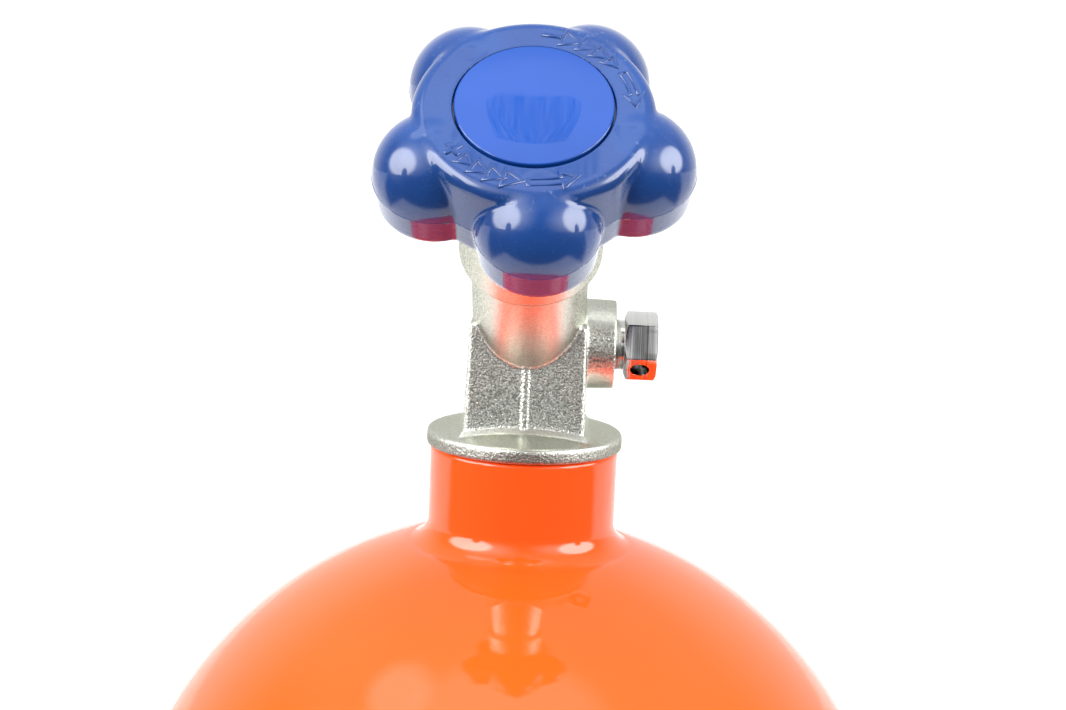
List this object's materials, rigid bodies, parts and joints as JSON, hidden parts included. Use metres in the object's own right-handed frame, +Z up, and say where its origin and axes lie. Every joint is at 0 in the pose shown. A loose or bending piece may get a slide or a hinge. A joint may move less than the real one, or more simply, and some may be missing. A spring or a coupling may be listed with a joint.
{
  "type": "diving cylinder",
  "caption": "Round-shouldered compressed gas cylinder with a forged on-off valve, a lobed handwheel on a stem leaning at 45 degrees, a side safety plug and a rear threaded outlet.",
  "frame": {"origin": "centre of the base, on the plane that the cylinder stands on", "axes": "+Z up along the cylinder's axis, -Y towards the front, where the handwheel leans, +X towards the safety plug, +Y out of the outlet"},
  "size_m": [0.1841, 0.1842, 0.7503],
  "materials": {
    "orange_paint": "gloss",
    "seal_rubber": "matte",
    "nickel_forging": "satin",
    "nickel_turned": "satin",
    "brass_parts": "satin",
    "stem_brass": "polished",
    "chrome_plug": "polished",
    "copper_disc": "satin",
    "white_seal": "matte",
    "steel_small": "satin",
    "wheel_blue": "gloss",
    "cap_blue": "gloss"
  },
  "bodies": {
    "cylinder_and_valve": {"cylinder": "orange_paint", "neck_o_ring": "seal_rubber", "valve_body": "nickel_forging", "dip_tube": "brass_parts", "outlet_nipple": "nickel_turned", "safety_plug": "chrome_plug", "burst_disc": "copper_disc", "burst_disc_gasket": "copper_disc", "bonnet_nut": "nickel_turned", "bonnet_gasket": "white_seal", "thrust_washer": "white_seal"},
    "handwheel_and_spindle": {"handwheel": "wheel_blue", "hub_insert": "brass_parts", "handwheel_washer": "steel_small", "handwheel_spring": "steel_small", "handwheel_nut": "steel_small", "handwheel_cap": "cap_blue", "upper_stem": "stem_brass", "stem_o_rings": "seal_rubber"},
    "seat_plug": {"lower_stem": "stem_brass", "seat_insert": "white_seal"}
  },
  "joints": [
    {"name": "handwheel_turn", "type": "hinge", "parent": "cylinder_and_valve", "child": "handwheel_and_spindle", "pos_m": [0, 0, 0.6797], "axis": [0, -0.7071, 0.7071], "range_deg": [0, 900]},
    {"name": "seat_lift", "type": "slide", "parent": "handwheel_and_spindle", "child": "seat_plug", "axis": [0, -0.7071, 0.7071], "range_m": [0, 0.0032]}
  ],
  "couplings": [
    {"joint": "seat_lift", "follows": "handwheel_turn", "m_per_rad": 0.00019894}
  ]
}
